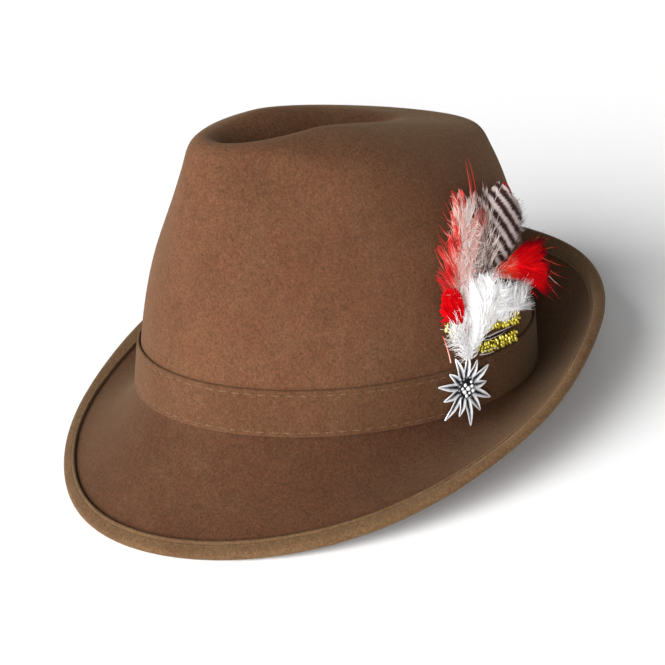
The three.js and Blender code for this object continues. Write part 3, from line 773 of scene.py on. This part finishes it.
def barbs(rows, count, seed, run=(0.0, 1.0), side=1, spread=(60, 30), curve=0.35, jitter=0.15,
          wander=6, over=1.0, points=5, clumps=0, clump=0.6, lift=0.0, layers=1.0,
          tone=(0.0, 1.0)):
    """Strands from one side of a quill out to the feather's edge, or over it by a factor.

    The run is the part of the quill that they start from, the spread their angles to it in
    degrees at the root and the tip. Gives their points on the plume's sheet, and for each point
    the share along the quill, a tone from root to tip, and the strand's own random number.
    """
    rng = np.random.default_rng(seed)
    s = run[0] + (run[1] - run[0]) * (np.arange(count) + rng.random(count)) / count
    root, theta, length = quill_at(rows, s)
    angle = np.radians(spread[0] + (spread[1] - spread[0]) * s)
    steps = np.linspace(0.2, LONGEST_BARB, 120)
    reached = s[:, None] + steps * np.cos(angle)[:, None] / length
    half = quill_at(rows, reached)[0][..., 3] / 2 * over
    past = (steps * np.sin(angle)[:, None] >= half) | (reached >= 1.0)
    long = np.where(past.any(axis=1), steps[np.argmax(past, axis=1)], LONGEST_BARB)
    long *= 1 + jitter * rng.standard_normal(count).clip(-2, 2)
    sway = np.radians(wander) * rng.standard_normal(count)
    path, t = grown(root[:, :3], theta + side * angle, sway - side * angle * curve, long, points)
    hump = np.sin(np.pi * np.clip(t * 0.9 + 0.05, 0, 1))
    layer = rng.uniform(-1, 1, count)
    path[:, :, 2] += layer[:, None] * root[:, 4, None] / 2 * layers * hump
    path[:, :, 2] += lift * t ** 2 * rng.random(count)[:, None]
    number = rng.random(count)
    if clumps:
        group = (s * clumps).astype(int)
        for g in np.unique(group):
            members = np.flatnonzero(group == g)
            guide = path[rng.choice(members)]
            pull = clump * rng.uniform(0.5, 1.0, len(members))
            tip = guide[-1] - path[members, -1]
            path[members] += (pull[:, None] * t ** 1.6)[:, :, None] * tip[:, None]
            number[members] = 0.35 * number[members] + 0.65 * rng.random()
    along = s[:, None] + t * (np.cos(angle) * long)[:, None] / length
    return path, strand_lay(along, tone, t, number, path.shape[:2])


def fluff(rows, count, seed, run=(0.0, 1.0), long=(3, 6), wild=40, curl=50, lift=2.0, reach=0.9,
          lean=35, points=5, tone=(0.0, 1.0), keep=(-1.0, 1.0)):
    """Short curly strands of down that start all over a feather and point outwards at random."""
    rng = np.random.default_rng(seed)
    s = rng.uniform(*run, count)
    a = rng.uniform(*keep, count)
    root, theta, _ = quill_at(rows, s)
    start = root[:, :3].copy()
    start[:, 0] -= np.sin(theta) * a * root[:, 3] / 2 * reach
    start[:, 1] += np.cos(theta) * a * root[:, 3] / 2 * reach
    start[:, 2] += rng.uniform(-0.2, 0.6, count) * root[:, 4]
    heading = theta + np.radians(lean) * a + np.radians(wild) * rng.standard_normal(count)
    turn = np.radians(curl) * rng.standard_normal(count)
    size = rng.uniform(*long, count)
    path, t = grown(start, heading, turn, size, points)
    path[:, :, 2] += lift * rng.uniform(0.1, 1.0, count)[:, None] * np.sin(t * np.pi * 0.7)
    edge = np.clip(a, 0, 1)[:, None] * 0.75 + 0.3 * t
    return path, strand_lay(s[:, None], tone, edge, rng.random(count), edge.shape)


def wisps(ends, seed, off, bend, points, tone=(0.0, 1.0)):
    """Single strands between given places, in shares of the plume's length."""
    rng = np.random.default_rng(seed)
    ends = np.array(ends) * PLUME_LENGTH
    start = np.column_stack([ends[:, :2], np.full(len(ends), off)])
    way = ends[:, 2:] - ends[:, :2]
    long = np.linalg.norm(way, axis=1)
    turn = np.radians(bend) * rng.standard_normal(len(ends))
    heading = np.arctan2(way[:, 1], way[:, 0]) - turn / 2
    path, t = grown(start, heading, turn, long, points)
    return path, strand_lay(t, tone, t, rng.random(len(ends)), path.shape[:2])


def strand_mesh(groups, name):
    """Strands as thin tapered tubes. A group is their path, lay, root radius and tip radius."""
    curve = tube_curve(name, MM, 0)
    marks = []
    for path, lay, thick, thin in groups:
        count, points = path.shape[:2]
        spots = on_plume(path[..., 0], path[..., 1], path[..., 2])
        t = np.linspace(0, 1, points)
        radius = (thick + (thin - thick) * t ** 1.3).astype(np.float32)
        spots = np.concatenate([spots, np.ones((count, points, 1))], 2).astype(np.float32)
        for spot in spots:
            spline = curve.splines.new("POLY")
            spline.points.add(points - 1)
            spline.points.foreach_set("co", spot.ravel())
            spline.points.foreach_set("radius", radius)
        marks.append(np.repeat(lay.reshape(-1, 3), 4, axis=0))
    mesh = tube_mesh(curve)
    marks = np.concatenate(marks)
    if len(marks) != len(mesh.vertices):
        raise ValueError(f"{name}: {len(marks)} marks for {len(mesh.vertices)} vertices")
    attribute = mesh.attributes.new("lay", "FLOAT_VECTOR", "POINT")
    attribute.data.foreach_set("vector", marks.astype(np.float32).ravel())
    bm = bmesh.new()
    bm.from_mesh(mesh)
    bmesh.ops.holes_fill(bm, edges=[edge for edge in bm.edges if edge.is_boundary], sides=4)
    bm.to_mesh(mesh)
    bm.free()
    return mesh


def quill(rows, start, end, thick, thin, points=20, off=0.0):
    """The shaft of a feather as one strand."""
    s = np.linspace(start, end, points)
    path = quill_at(rows, s)[0][None, :, :3].copy()
    path[..., 2] += off
    lay = np.stack([s, np.zeros(points), np.full(points, 2.0)], 1)[None]
    return path, lay, thick, thin


def barred_colour(made, bars, tone, own):
    """Dark bars across the barbs, blurred from barb to barb, with dark red at the tip."""
    wave = made.math("SINE", bars)
    blur = made.math("ADD", wave, made.math("MULTIPLY", made.math("SUBTRACT", own, 0.5), 0.9))
    shares = made.math("MULTIPLY_ADD", blur, 0.5)
    stripes = made.ramp(shares, [
        (0.0, (0.030, 0.012, 0.010)), (0.30, (0.075, 0.034, 0.030)),
        (0.55, (0.36, 0.25, 0.23)), (0.85, (0.70, 0.60, 0.58)),
    ])
    return made.mix(made.math("GREATER_THAN", tone, 1.5), stripes, (0.30, 0.004, 0.010))


def red_colour(made, along, tone, own):
    """Red that is paler on some barbs near the root and darker at the ends."""
    bright = made.ramp(own, [
        (0.0, (0.44, 0.0005, 0.004)), (0.6, (0.70, 0.001, 0.005)), (1.0, (0.78, 0.005, 0.006)),
    ])
    pale = made.mix(made.math("GREATER_THAN", own, 0.72), (0.82, 0.11, 0.05), (0.88, 0.50, 0.42))
    early = made.ramp(along, [(0.52, (1, 1, 1)), (0.74, (0, 0, 0))])
    ends = made.ramp(tone, [(0.80, (0, 0, 0)), (1.0, (1, 1, 1))])
    return made.mix(ends, made.mix(early, bright, pale), (0.26, 0.002, 0.012))


def tab_colour(made, along, tone, own):
    """Plain red, darker on some strands."""
    return made.ramp(own, [(0.0, (0.50, 0.0005, 0.003)), (1.0, (0.76, 0.001, 0.006))])


def pink_colour(made, along, tone, own):
    """White down at the heart that turns pink and then red at its tips."""
    shift = made.math("ADD", tone, made.math("MULTIPLY", made.math("SUBTRACT", own, 0.45), 0.75))
    return made.ramp(shift, [
        (0.12, (0.84, 0.74, 0.71)), (0.44, (0.78, 0.44, 0.37)),
        (0.70, (0.72, 0.05, 0.035)), (1.0, (0.58, 0.001, 0.008)),
    ])


def grey_colour(made, along, tone, own):
    """Downy foot of the barred feather, from dark brown to pinkish white."""
    return made.ramp(own, [
        (0.0, (0.08, 0.042, 0.036)), (0.33, (0.28, 0.18, 0.16)),
        (0.52, (0.68, 0.52, 0.47)), (1.0, (0.84, 0.73, 0.69)),
    ])


def white_colour(made, along, tone, own):
    """White down with a greyish quill."""
    shade = made.ramp(own, [
        (0.0, (0.90, 0.88, 0.88)), (0.4, (0.96, 0.95, 0.95)), (1.0, (0.98, 0.97, 0.97)),
    ])
    return made.mix(made.math("GREATER_THAN", own, 1.5), shade, (0.42, 0.40, 0.36))


barred_finish = strand_finish("barred feather", barred_colour, 0.5, 0.1)
red_finish = strand_finish("red feather", red_colour, 0.9, 0.0)
tab_finish = strand_finish("red tab", tab_colour, 0.9, 0.0)
pink_finish = strand_finish("red tipped down", pink_colour, 0.7, 0.1)
white_finish = strand_finish("white down", white_colour, 0.8, 0.3)
grey_finish = strand_finish("greyish down", grey_colour, 0.8, 0.1)


def barred(path, lay):
    """Mark strands with the phase of the slanted bars, and the places of the red tip."""
    way = math.radians(BAR_WAY)
    across = path[..., 0] * math.cos(way) + path[..., 1] * math.sin(way)
    marked = lay.copy()
    marked[..., 0] = BAR_START + across * 2 * math.pi / BAR_PITCH
    at_tip = (across > RED_TIP_ACROSS) & (path[..., 1] > RED_TIP_UP)
    marked[..., 1] = np.where(at_tip, 2.0, 0.0)
    return path, marked


def barred_side(side, count, seed, **more):
    """One side of the barred feather."""
    return barred(*barbs(BARRED, count, seed, side=side, points=9, curve=0.1, **more))


def tufted(path, lay):
    """Let the red of the tips come and go in tufts along the plume."""
    marked = lay.copy()
    along = lay[..., 0]
    wave = np.sin(along * TUFT_WAVES[0] + TUFT_SHIFT) + 0.5 * np.sin(along * TUFT_WAVES[1])
    pale = PALE_DEPTH * np.clip((along - PALE_START) / PALE_RUN, 0, 1)
    marked[..., 1] += (TUFT_DEPTH * wave - pale) * lay[..., 1]
    return path, marked


def sunk(path, lay, depth):
    """The same strands, lower in the plume."""
    path = path.copy()
    path[..., 2] -= depth
    return path, lay


# The dense middle of the red tab, under its loose strands
red_core = two_tone(
    "dense red barbs", (700, 4, 0.7, (1, 1, 0.35)), (0.42, 0.0005, 0.003),
    (0.64, 0.0015, 0.006), (0.6, 0.0006), Roughness=0.85, Specular_IOR_Level=0.2,
)
bm = cad_copy("red_tip")
bm.normal_update()
for vertex, way in [(vertex, vertex.normal.copy()) for vertex in bm.verts]:
    vertex.co -= way * CORE_INSET * MM
finished("red_tab_core", bm, red_core, "red_feather", levels=1)

# The numbers of barbs, in order: count, seed, run, side, spread, curve, jitter, wander, over,
# points, clumps, clump, lift and layers. Those of fluff: count, seed, run, long, wild, curl, lift,
# reach, lean and points. Those of wisps: seed, off, bend, points and tone. The last two of each
# line are the radii at root and tip, in millimetres.

# The barred feather: zipped barbs in two layers, looser ones over them
zipped = dict(wander=2, run=(0.28, 0.985), spread=(52, 34), jitter=0.03, over=1.9)
inner = dict(wander=2, run=(0.34, 0.92), spread=(44, 20), jitter=0.04, over=0.30)
loose = dict(wander=7, run=(0.28, 0.88), spread=(54, 38), jitter=0.06, over=1.9, lift=1.6)
loose_inner = dict(wander=8, run=(0.28, 0.74), spread=(42, 16), jitter=0.12, over=0.5, lift=1.6)
groups = [
    (*barred_side(-1, 1200, 11, **zipped), 0.24, 0.12),
    (*barred_side(1, 460, 12, **inner), 0.24, 0.12),
    (*barred_side(-1, 300, 13, **loose), 0.13, 0.05),
    (*barred_side(1, 140, 14, **loose_inner), 0.13, 0.05),
    quill(BARRED, 0.0, 0.97, 0.6, 0.2, 30, 0.3),
]
dressed(
    "barred_barbs", strand_mesh(groups, "barred"), barred_finish, "barred_feather",
    "barred_feather",
)

# The red feather: a sunk ground, two sides of barbs, long ends over them and rays past its tip
groups = [
    (*sunk(*barbs(RED, 260, 27, (0.40, 0.96), 1, (30, 10), 0.35, 0.05, 3, 0.42), 0.5), 0.5, 0.25),
    (*sunk(*barbs(RED, 320, 28, (0.40, 0.96), -1, (48, 24), 0.15, 0.05, 3, 1.0), 0.5), 0.5, 0.25),
    (*barbs(
        RED, 800, 21, (0.30, 0.99), 1, (30, 10), 0.35, 0.12, 5, 0.5, 5, 8, 0.4, 0.8,
    ), 0.24, 0.08),
    (*barbs(
        RED, 1100, 22, (0.30, 0.99), -1, (48, 24), 0.15, 0.12, 5, 1.15, 5, 8, 0.4, 0.8,
    ), 0.24, 0.08),
    (*fluff(RED, 200, 23, (0.45, 0.90), (3, 5), 12, 12, 0.6, 0.7, 20), 0.15, 0.05),
    (*barbs(RED, 30, 24, (0.72, 0.99), 1, (22, 6), 0.1, 0.2, 8, 0.62, 7, lift=1.0), 0.12, 0.03),
    (*barbs(RED, 70, 25, (0.66, 0.99), -1, (38, 14), 0.1, 0.25, 10, 1.2, 7, lift=1.0), 0.12, 0.03),
    (*wisps(RED_RAYS, 26, 4.5, 12, 9, (0.6, 1.0)), 0.15, 0.04),
    quill(RED, 0.0, 0.95, 0.6, 0.2),
]
dressed("red_barbs", strand_mesh(groups, "red"), red_finish, "red_feather", "red_feather")

# The pink plume: clumped barbs on both sides, down over them, longer barbs and single spikes
groups = [
    (*tufted(*barbs(
        PINK, 1100, 31, (0.10, 0.99), 1, (66, 22), 0.55, 0.30, 14, 1.0, 6, 16, 0.85, 2.4,
    )), 0.19, 0.05),
    (*barbs(
        PINK, 900, 32, (0.10, 0.92), -1, (52, 22), 0.3, 0.25, 14, 1.45, 6, 14, 0.7, 1.8,
        tone=(0.05, 0.42),
    ), 0.18, 0.05),
    (*tufted(*fluff(
        PINK, 520, 33, (0.12, 0.94), (3, 8), 60, 80, 3.2, 0.7, 45, 6,
    )), 0.14, 0.035),
    (*tufted(*barbs(
        PINK, 240, 34, (0.20, 0.99), 1, (58, 18), 0.5, 0.25, 14, 1.06, 6, 12, 0.9, 2.0,
        tone=(0.3, 1.1),
    )), 0.17, 0.035),
    (*wisps(RED_SPIKES, 35, 5.0, 14, 9, (0.75, 1.2)), 0.18, 0.04),
    quill(PINK, 0.0, 0.9, 0.5, 0.2),
]
dressed("pink_barbs", strand_mesh(groups, "pink"), pink_finish, "pink_down", "pink_plume")

# The white plume: a sunk ground, clumped barbs on both sides, curly down over them
groups = [
    (*sunk(*barbs(
        WHITE, 650, 47, (0.10, 0.97), -1, (46, 74), 0.15, 0.06, 5, 0.85,
    ), 0.8), 0.4, 0.2),
    (*sunk(*barbs(
        WHITE, 300, 48, (0.10, 0.92), 1, (28, 40), 0.3, 0.1, 6, 0.36,
    ), 0.8), 0.4, 0.2),
    (*barbs(
        WHITE, 1500, 41, (0.04, 0.99), -1, (46, 74), 0.15, 0.14, 9, 1.0, 6, 16, 0.35, 2.0, 2.0,
    ), 0.16, 0.035),
    (*barbs(
        WHITE, 650, 42, (0.04, 0.90), 1, (28, 40), 0.3, 0.16, 10, 0.42, 5, 12, 0.35, 1.5, 2.0,
    ), 0.16, 0.035),
    (*fluff(
        WHITE, 1400, 43, (0.05, 0.96), (4, 8), 26, 36, 2.8, 0.78, -42, keep=(-1.0, 0.35),
    ), 0.10, 0.025),
    quill(WHITE, 0.42, 0.86, 0.45, 0.25, off=4.6),
]
dressed("white_barbs", strand_mesh(groups, "white"), white_finish, "white_down", "white_plume")

# Loose greyish down beside the barred feather, and white down from the plumes to the pin
groups = [(*fluff(GREY_DOWN, 330, 44, (0.0, 1.0), (5, 10), 18, 22, 1.8, 0.9, 24), 0.17, 0.04)]
dressed("grey_down", strand_mesh(groups, "grey_down"), grey_finish, "barred_feather")
groups = [
    (*fluff(LOW_DOWN, 900, 45, (0.0, 1.0), (3, 8), 26, 34, 2.4, 0.8, 30), 0.13, 0.035),
    (*wisps(WHITE_WISPS, 46, 4.0, 22, 9), 0.16, 0.04),
]
dressed("low_down", strand_mesh(groups, "low_down"), white_finish, "white_down")

# The small red feather, and the pink quill beside it
close = dict(clumps=8, clump=0.5, tone=(0, 0.7))
groups = [
    (*barbs(TAB, 650, 51, (0.03, 0.97), 1, (34, 12), 0.3, 0.05, 3, **close), 0.28, 0.10),
    (*barbs(TAB, 650, 52, (0.03, 0.97), -1, (34, 12), 0.3, 0.05, 3, **close), 0.28, 0.10),
    (*fluff(TAB, 350, 53, (0.1, 0.9), (2, 4), 10, 8, 0.5, 0.9, 16, tone=(0, 0.7)), 0.22, 0.08),
    (*wisps(TAB_TAIL, 54, 8.0, 8, 7, (0.0, 0.9)), 0.30, 0.08),
]
dressed("red_tab_barbs", strand_mesh(groups, "tab"), tab_finish, "red_feather", "red_tip")
groups = [(*wisps(PINK_QUILL, 55, 2.0, 16, 12, (0.10, 0.35)), 0.32, 0.16)]
dressed("pink_quill", strand_mesh(groups, "pink_quill"), pink_finish, "pink_down")


# Tinsel

gold = Finish("gold foil", Metallic=0.65, Roughness=0.22)
gold.to(gold.ramp(gold.noise(420, 2, 0.5), [
    (0.35, (0.20, 0.16, 0.01)), (0.48, (0.78, 0.64, 0.05)), (0.65, (1.0, 0.88, 0.20)),
]), "Base Color")
# The braid's body under its grains, painted near black: painted shade in the gaps between the foil
# grains
shaded_tinsel_core = two_tone(
    "tinsel core with painted shade", (900, 2, 0.5), (0.015, 0.013, 0.002), (0.09, 0.08, 0.012),
    Metallic=0.5, Roughness=0.5,
)


def plume_frame(back, up, off):
    """A place on the plume's sheet with the ways back, up and out there."""
    backs, ups = np.array([back, back + 0.5, back]), np.array([up, up, up + 0.5])
    place, one, two = (Vector(p) for p in on_plume(backs, ups, np.full(3, off)))
    x = (one - place).normalized()
    z = x.cross(two - place).normalized()
    return place, x, z.cross(x), z


def tinsel(name, node, places, seed):
    """A flat braid: rows of plump foil grains that lean one way and the other on a near-black core,
    whose darkness is painted shade between the grains.
    """
    rng = np.random.default_rng(seed)
    line = smooth_line(np.array(places) * PLUME_LENGTH, 20)
    run = run_along(line)
    bm = bmesh.new()
    count = int(run[-1] / GRAIN_PITCH)
    for i in range(count):
        at = (i + 0.5) / count * run[-1]
        (back, nb, pb), (up, nu, pu) = (
            np.interp([at, min(at + 0.5, run[-1]), max(at - 0.5, 0)], run, line[:, k])
            for k in range(2)
        )
        heading = math.atan2(nu - pu, nb - pb)
        for row in (-1, 0, 1):
            shift = row * GRAIN_ROW + rng.normal(0, GRAIN_JITTER)
            ahead = (SIDE_AHEAD if row else 0) + rng.normal(0, GRAIN_JITTER)
            b = back - math.sin(heading) * shift + math.cos(heading) * ahead
            u = up + math.cos(heading) * shift + math.sin(heading) * ahead
            off = GRAIN_OFF + MIDDLE_LIFT * (row == 0) + rng.normal(0, GRAIN_JITTER)
            place, x, y, z = plume_frame(b, u, off)
            lean = heading + math.pi / 2 + math.radians(GRAIN_LEAN) + rng.normal(0, 0.3)
            way = x * math.cos(lean) + y * math.sin(lean)
            way = (way + z * rng.normal(0, 0.15)).normalized()
            side = z.cross(way).normalized()
            scale = rng.uniform(0.75, 1.15)
            halves = [half * scale for half in GRAIN_HALVES]
            bead(bm, place, (way, side, way.cross(side)), halves, 6)
    finished(name + "_foil", bm, gold.material, "tinsel")
    finished(name + "_core", cad_copy(node), shaded_tinsel_core, "tinsel", node, levels=1)


tinsel("tinsel_loop", "tinsel_loop", TINSEL_LOOP, 61)
tinsel("tinsel_end", "tinsel_end", TINSEL_END, 62)


# Edelweiss pin

silver = Finish("silver with dark patina", Metallic=0.2, Roughness=0.2)
deep = silver.attribute("deep").outputs["Fac"]
grime = silver.math("ADD", deep, silver.math("MULTIPLY", silver.noise(700, 3, 0.6), 0.35))
silver.to(silver.ramp(grime, [
    (0.44, (0.98, 0.98, 1.0)), (0.60, (0.40, 0.41, 0.44)), (0.76, (0.008, 0.009, 0.014)),
]), "Base Color")
silver.to(silver.ramp(grime, [(0.5, grey(0.2)), (0.9, grey(0.6))]), "Roughness")

pin_place, pin_side, pin_up, pin_out = plume_frame(0.0, 0.0, BAND_OFF)
PIN = Matrix.Translation(pin_place) @ turned(pin_side, pin_up, pin_out) @ Matrix.Scale(MM, 4)


def around_pin(away, turn, height):
    """A place around the pin's middle, in its own frame."""
    return Vector((away * math.sin(turn), away * math.cos(turn), height))


rng = np.random.default_rng(71)
bm = bmesh.new()
deep_layer = bm.verts.layers.float.new("deep")
for i, share in enumerate(PETALS):
    turn = math.radians(PETAL_START + 360 * i / len(PETALS))
    made = bmesh.ops.create_grid(bm, x_segments=6, y_segments=12, size=0.5)["verts"]
    droop = rng.normal(0, PETAL_DROOP)
    for vertex in made:
        b, a = vertex.co.x * 2, vertex.co.y + 0.5
        reach = PETAL_FOOT + (share * PIN_RADIUS - PETAL_FOOT) * a
        half = PETAL_WIDTH / 2 * float(np.interp(a, *PETAL_WIDE))
        hollow = PETAL_HOLLOW * half / (PETAL_WIDTH / 2) * (b * b - 0.4)
        height = float(np.interp(a, *PETAL_LIFT)) + droop * a + hollow
        x = b * half
        vertex.co = PIN @ Vector((
            -(reach * math.sin(turn) + x * math.cos(turn)),
            reach * math.cos(turn) - x * math.sin(turn),
            height,
        ))
        vertex[deep_layer] = (1 - abs(b)) * 0.9 * (1 - 0.5 * a)
bmesh.ops.recalc_face_normals(bm, faces=bm.faces)
bmesh.ops.solidify(bm, geom=bm.faces[:], thickness=PETAL_THICK * MM)
finished("edelweiss_petals", bm, silver.material, "pin_metal", levels=1)

bm = bmesh.new()
deep_layer = bm.verts.layers.float.new("deep")
plate = bmesh.ops.create_cone(
    bm, cap_ends=True, segments=32, radius1=PIN_PLATE, radius2=PIN_PLATE * 0.8,
    depth=PLATE_DEPTH, matrix=PIN @ Matrix.Translation((0, 0, PLATE_DEPTH / 2)),
)["verts"]
for vertex in plate:
    vertex[deep_layer] = 1.0


def knob(place, radius, subdivisions, shade):
    """A ball on the pin, dark up to a height and brighter above it."""
    made = bmesh.ops.create_icosphere(
        bm, subdivisions=subdivisions, radius=radius, matrix=PIN @ Matrix.Translation(place),
    )["verts"]
    for vertex in made:
        local = PIN.inverted() @ vertex.co
        vertex[deep_layer] = 1.0 if local.z < shade[0] else shade[1]


for i in range(KNOBS):
    away = KNOB_RINGS[i % 2] if i else 0
    place = around_pin(away, math.radians(360 / KNOBS * i), KNOB_UP + 0.4 * (i == 0))
    knob(place, KNOB_SIZES[i % 3], 2, KNOB_SHADE)
for i in range(BEADS):
    place = around_pin(BEAD_RING, math.radians(360 / BEADS * i), BEAD_UP)
    knob(place, BEAD_SIZE, 1, BEAD_SHADE)
finished("edelweiss_heart", bm, silver.material, "pin_metal", "edelweiss_pin")


# Floor, light and camera

pale = two_tone(
    "pale floor", (2, 2, 0.5), grey(0.93), grey(0.95), Roughness=0.9, Specular_IOR_Level=0.1,
)
bm = bmesh.new()
bmesh.ops.create_circle(bm, cap_ends=True, segments=96, radius=FLOOR_RADIUS)
mesh = bpy.data.meshes.new("floor")
bm.to_mesh(mesh)
bm.free()
mesh.materials.append(pale)
floor = placed("floor", mesh)

azimuth, lift, roll = (math.radians(x) for x in (AZIMUTH, LIFT, ROLL))
back = Vector((
    math.sin(azimuth) * math.cos(lift), -math.cos(azimuth) * math.cos(lift), math.sin(lift),
))
right = Vector((math.cos(azimuth), math.sin(azimuth), 0))
up = back.cross(right)
right, up = (
    right * math.cos(roll) - up * math.sin(roll),
    right * math.sin(roll) + up * math.cos(roll),
)
back, right, up = (HEAD_TURN @ v for v in (back, right, up))
origin = REST @ Vector((0, 0, 0))
eye = origin + back * DISTANCE
aim = origin + right * AIM_RIGHT * MM + up * AIM_UP * MM
look = (eye - aim).normalized()
across = up.cross(look).normalized()
camera_data = bpy.data.cameras.new("camera")
camera_data.lens = LENS
camera_data.sensor_width = SENSOR_WIDTH
camera = placed("camera", camera_data)
camera.matrix_world = Matrix.Translation(eye) @ turned(across, look.cross(across), look)
bpy.context.scene.camera = camera


def lamp(name, kind, place, way, **values):
    """A light that shines back along a way."""
    data = bpy.data.lights.new(name, kind)
    for key, value in values.items():
        setattr(data, key, value)
    made = placed(name, data)
    made.location = place
    made.rotation_euler = way.to_track_quat("Z", "Y").to_euler()


def sunlight(name, from_left, above, spread, power):
    """A broad even light from beside the camera, given in degrees."""
    level = Vector((eye.x, eye.y, 0)).normalized()
    way = Matrix.Rotation(-math.radians(from_left), 3, "Z") @ level
    rise = math.radians(above)
    way = (way * math.cos(rise) + Vector((0, 0, math.sin(rise)))).normalized()
    lamp(name, "SUN", (0, 0, 0), way, angle=math.radians(spread), energy=power)


sunlight("key", 54, 26, 60, 6.0)
sunlight("fill", 4, 14, 30, 1.7)
top = Vector((0.1, 0.3, 1.7))
lamp("top", "AREA", top, top - HAT_MIDDLE, shape="SQUARE", size=1.4, energy=1.4)

world = bpy.data.worlds.new("studio")
bpy.context.scene.world = world
world.use_nodes = True
world.node_tree.nodes["Background"].inputs["Color"].default_value = (1, 1, 1, 1)
world.node_tree.nodes["Background"].inputs["Strength"].default_value = AMBIENT

bpy.context.scene.view_settings.view_transform = "Standard"
